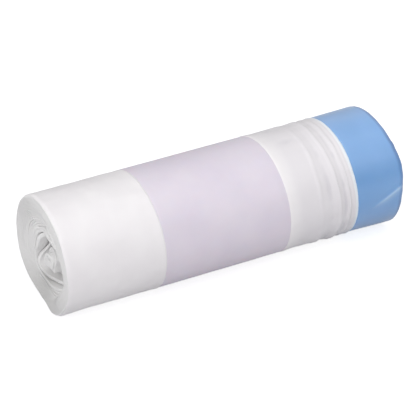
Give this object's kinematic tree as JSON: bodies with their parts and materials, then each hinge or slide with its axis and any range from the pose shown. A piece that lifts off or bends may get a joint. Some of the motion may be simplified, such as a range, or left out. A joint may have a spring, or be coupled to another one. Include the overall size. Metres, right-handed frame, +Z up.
{
  "type": "bin bag roll",
  "caption": "Coreless roll of white film drawstring bin bags with a blue drawstring hem at one end and a blank label band round the middle.",
  "frame": {"origin": "under the middle of the roll, on the surface that it lies on", "axes": "+X along the roll from the plain end to the drawstring end, +Y to the back where the loose end is, +Z up"},
  "size_m": [0.19, 0.0636, 0.062],
  "materials": {
    "film": "satin translucent polyethylene film",
    "tape": "satin polyethylene tape",
    "label": "plain satin plastic label film"
  },
  "bodies": {
    "root": {"film_roll": "film", "draw_tape": "tape", "label_band": "label"}
  },
  "joints": []
}
